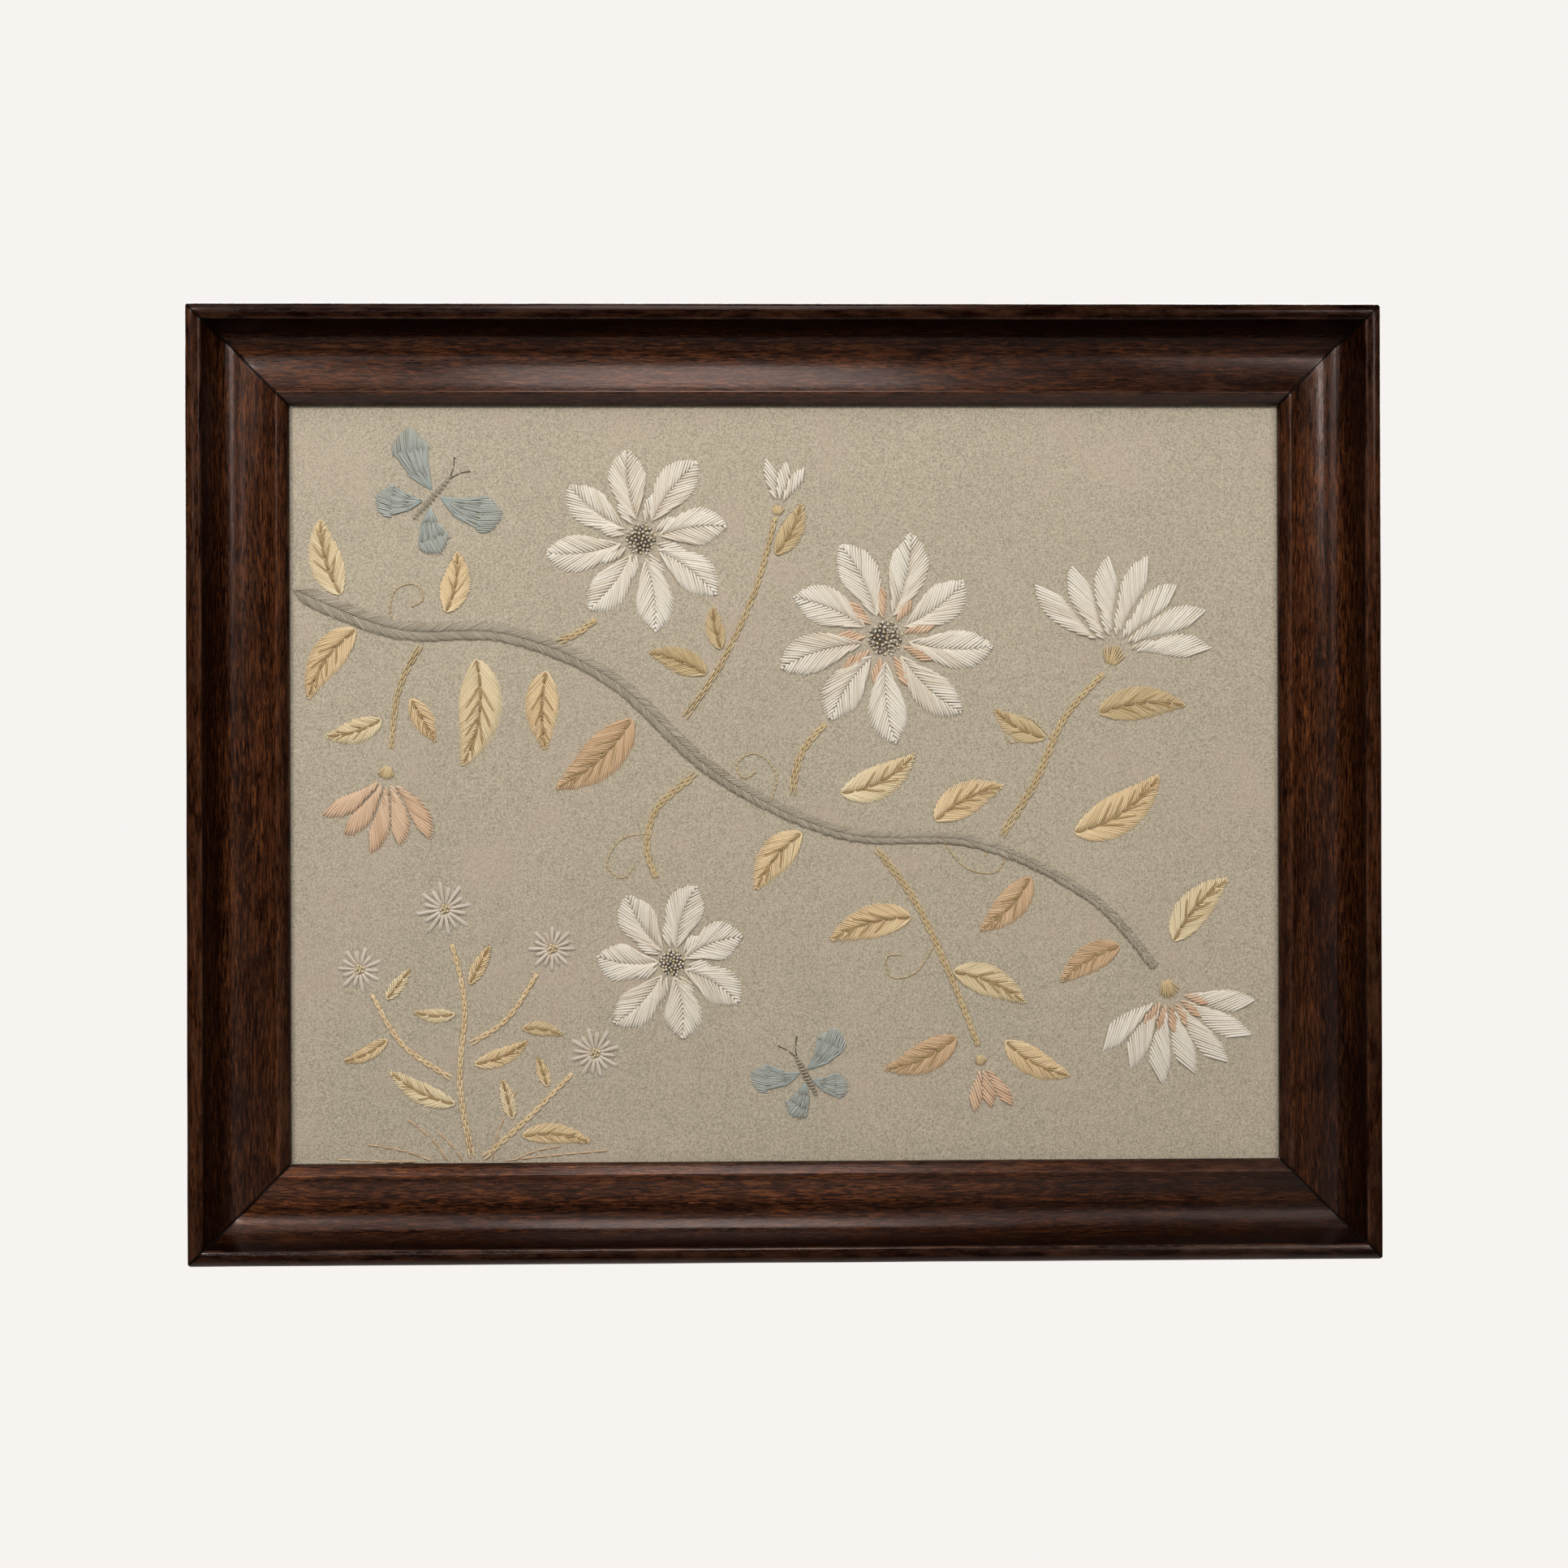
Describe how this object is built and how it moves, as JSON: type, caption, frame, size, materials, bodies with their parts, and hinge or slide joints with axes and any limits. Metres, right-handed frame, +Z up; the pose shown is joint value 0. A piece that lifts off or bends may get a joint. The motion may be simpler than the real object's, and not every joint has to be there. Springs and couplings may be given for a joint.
{
  "type": "framed silk embroidery: stretched embroidered silk cloth with its wooden picture frame",
  "caption": "Stretched silk cloth with a raised blossom-branch embroidery, held in a mitred dark wood cove-moulded picture frame that hangs on a wall.",
  "frame": {"origin": "on the back face of the top rail, at the middle of its length, 15 mm below the frame's top edge", "axes": "+X to the right across the picture's width, +Y out of the back towards the wall, +Z up; the picture faces -Y"},
  "size_m": [0.471, 0.0276, 0.378],
  "materials": {
    "varnished_wood": "dark reddish hardwood, satin varnish",
    "silk": "taupe plain-weave silk with ivory, peach, gold and pale blue silk stitching",
    "board": "plain unvarnished thin board"
  },
  "bodies": {
    "root": {"rail_top": "varnished_wood", "rail_bottom": "varnished_wood", "rail_left": "varnished_wood", "rail_right": "varnished_wood", "silk_panel": "silk", "mount_board": "board"}
  },
  "joints": []
}
